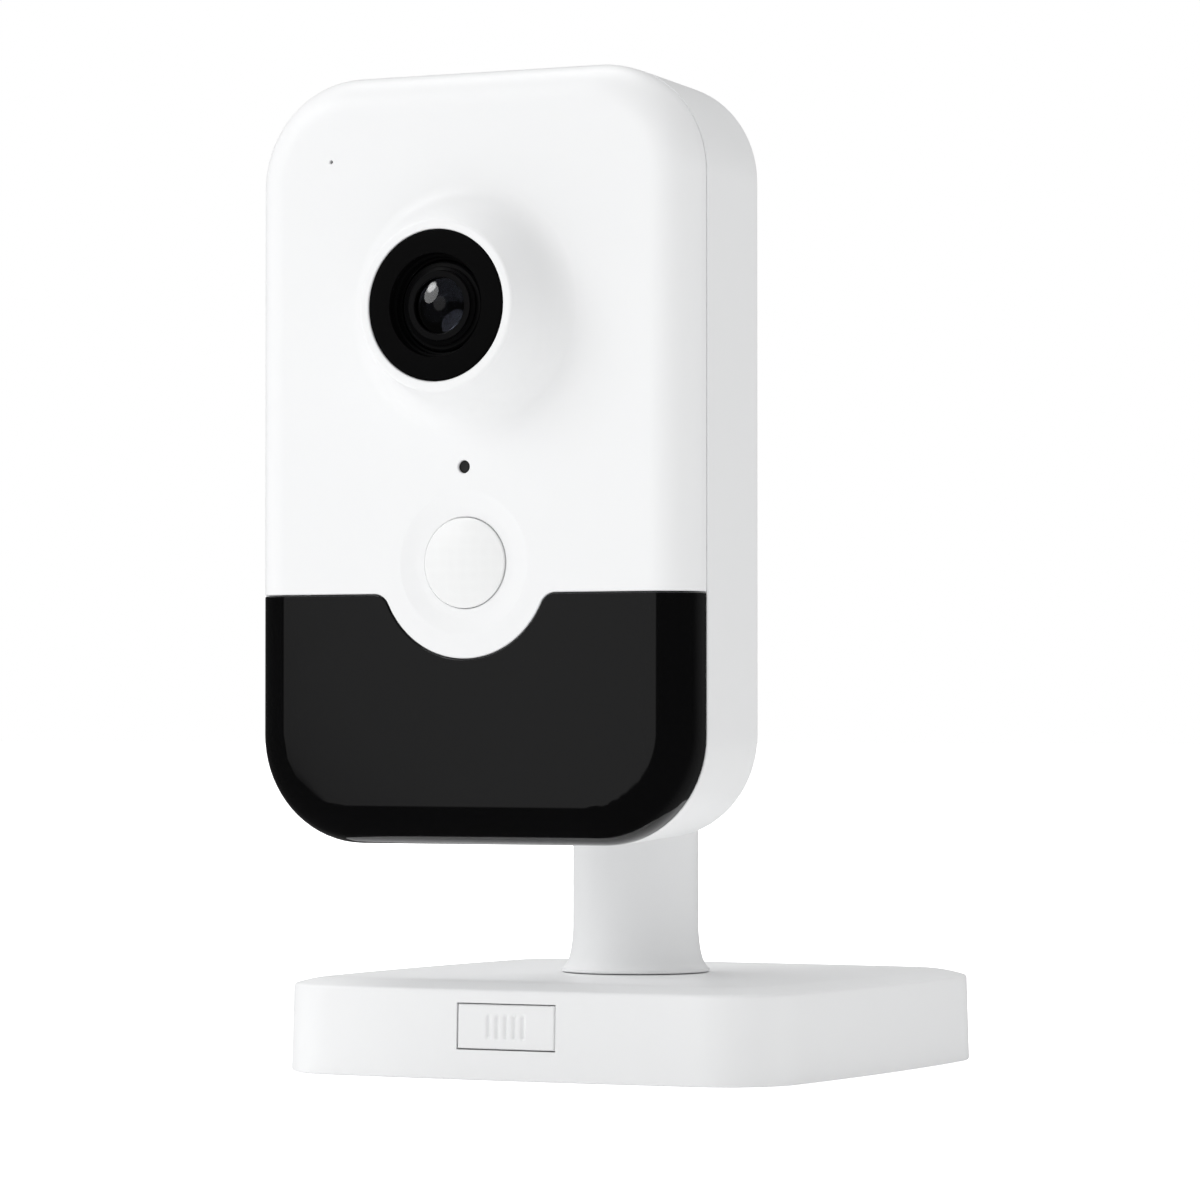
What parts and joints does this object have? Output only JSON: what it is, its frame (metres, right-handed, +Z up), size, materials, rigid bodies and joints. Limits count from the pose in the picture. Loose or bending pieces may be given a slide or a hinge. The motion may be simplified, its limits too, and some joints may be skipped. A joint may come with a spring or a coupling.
{
  "type": "security camera",
  "caption": "Cube-style indoor network camera: slim upright head with raised lens, motion sensor and dark infrared window, ball joint, round column, square base.",
  "frame": {"origin": "centre of the base's underside, on the column's axis", "axes": "+Z up, the lens looks along -Y, +X to the right of someone facing the lens"},
  "size_m": [0.0782, 0.0977, 0.135],
  "materials": {
    "white_shell": "satin moulded white plastic",
    "white_base": "fine textured white plastic",
    "dark_window": "polished black infrared window",
    "lens_black": "matt black plastic",
    "anodised_black": "black anodised barrel",
    "lens_glass": "coated glass",
    "filter_glass": "thin coated glass",
    "sensor_lens": "milky white film plastic",
    "board": "green lacquered circuit board",
    "lamp_board": "black lacquered circuit board",
    "chip": "black moulded package",
    "sensor_chip": "glass-topped chip",
    "steel": "plain steel",
    "screw_steel": "zinc plated steel",
    "plated_can": "nickel plated can",
    "aluminium": "extruded aluminium",
    "thermal_pad": "soft grey pad",
    "black_plastic": "black moulded plastic",
    "contacts": "gold plated contacts",
    "lamp_clear": "clear epoxy",
    "rubber": "soft black rubber",
    "grey_rubber": "soft grey rubber",
    "light_guide": "clear acrylic",
    "speaker_black": "black basket and paper cone",
    "flat_cable": "amber film cable",
    "nylon": "natural nylon",
    "white_grip": "moulded white plastic"
  },
  "bodies": {
    "base": {"base_cover": "white_base", "mounting_plate": "white_base", "rubber_feet": "rubber", "base_screws": "screw_steel", "swivel_bush": "nylon"},
    "latch": {"latch_button": "white_base"},
    "stand": {"column": "white_base", "ball_stud": "steel", "column_washer": "steel", "column_screw": "screw_steel"},
    "joint_housing": {"ball_housing": "white_grip", "ball_cup": "nylon", "swivel_washer": "steel", "swivel_screw": "screw_steel"},
    "lock_nut": {"lock_ring": "white_grip"},
    "reset": {"reset_button": "grey_rubber"},
    "night_filter": {"filter_frame": "black_plastic", "blocking_pane": "filter_glass", "clear_pane": "filter_glass"},
    "head": {"front_cover": "white_shell", "ir_window": "dark_window", "rear_shell": "white_shell", "case_screws": "screw_steel", "lens_bezel": "lens_black", "lens_barrel": "anodised_black", "front_lens": "lens_glass", "middle_lens": "lens_glass", "rear_lens": "lens_glass", "lens_holder": "black_plastic", "sensor_board": "board", "image_sensor": "sensor_chip", "lens_board_screws": "screw_steel", "main_board": "board", "main_board_screws": "screw_steel", "processor": "chip", "thermal_pad": "thermal_pad", "heat_spreader": "aluminium", "ethernet_jack": "black_plastic", "ethernet_contacts": "contacts", "power_jack": "black_plastic", "power_pin": "steel", "card_socket": "steel", "reset_switch": "black_plastic", "ir_lamp_board": "lamp_board", "ir_lamps": "lamp_clear", "lamp_connector": "nylon", "pir_lens": "sensor_lens", "pir_sensor": "plated_can", "microphone_sleeve": "rubber", "microphone": "plated_can", "status_light_guide": "light_guide", "status_lamp": "lamp_clear", "status_board": "board", "speaker_gasket": "rubber", "speaker": "speaker_black", "antenna": "lamp_board", "ribbon_sockets": "nylon", "ribbon_cable": "flat_cable"}
  },
  "joints": [
    {"name": "pan", "type": "hinge", "parent": "base", "child": "stand", "pos_m": [0, 0, 0], "axis": [0, 0, 1], "range_deg": [-175, 175]},
    {"name": "tilt", "type": "hinge", "parent": "stand", "child": "joint_housing", "pos_m": [0, -0.016, 0.08], "axis": [1, 0, 0], "range_deg": [-90, 14]},
    {"name": "roll", "type": "hinge", "parent": "joint_housing", "child": "head", "pos_m": [0, -0.016, 0.08], "axis": [0, 1, 0], "range_deg": [-180, 180]},
    {"name": "lock_ring_turn", "type": "hinge", "parent": "joint_housing", "child": "lock_nut", "pos_m": [0, -0.016, 0.08], "axis": [0, 1, 0], "range_deg": [0, 90]},
    {"name": "latch_press", "type": "slide", "parent": "base", "child": "latch", "axis": [0, 1, 0], "range_m": [0, 0.0012], "stiffness_N_per_m": 800, "springref_m": -0.0005},
    {"name": "reset_press", "type": "slide", "parent": "head", "child": "reset", "axis": [0, -1, 0], "range_m": [0, 0.0006], "stiffness_N_per_m": 600, "springref_m": -0.0005},
    {"name": "filter_shift", "type": "slide", "parent": "head", "child": "night_filter", "axis": [-1, 0, 0], "range_m": [0, 0.0065]}
  ]
}
